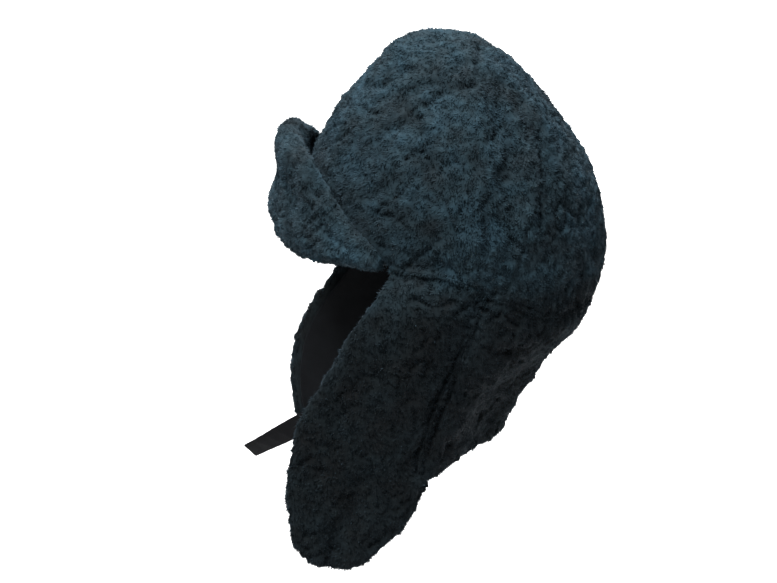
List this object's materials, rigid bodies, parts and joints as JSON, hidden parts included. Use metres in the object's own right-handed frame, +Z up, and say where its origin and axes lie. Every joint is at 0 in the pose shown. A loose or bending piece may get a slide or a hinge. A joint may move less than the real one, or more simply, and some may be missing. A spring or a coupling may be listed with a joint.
{
  "type": "fur trapper cap",
  "caption": "Tall soft trapper cap of short dark sheared fur with a turned-up front flap, long ear flaps, a neck flap and a tie tape.",
  "frame": {"origin": "centre of the head opening, level with the rim of the crown over the temples", "axes": "+Z up, -Y towards the face, +X towards the wearer's left"},
  "size_m": [0.2064, 0.2843, 0.3977],
  "materials": {
    "fur": "short curly sheared pile, matt, blue-black",
    "lining": "smooth plain weave, matt, charcoal",
    "tape": "woven twill tape, slight sheen, black"
  },
  "bodies": {
    "root": {"crown": "fur", "front_flap": "fur", "neck_flap": "fur", "ear_flap_left": "fur", "ear_flap_right": "fur", "ear_lining_left": "lining", "ear_lining_right": "lining", "tie_tape": "tape"}
  },
  "joints": []
}
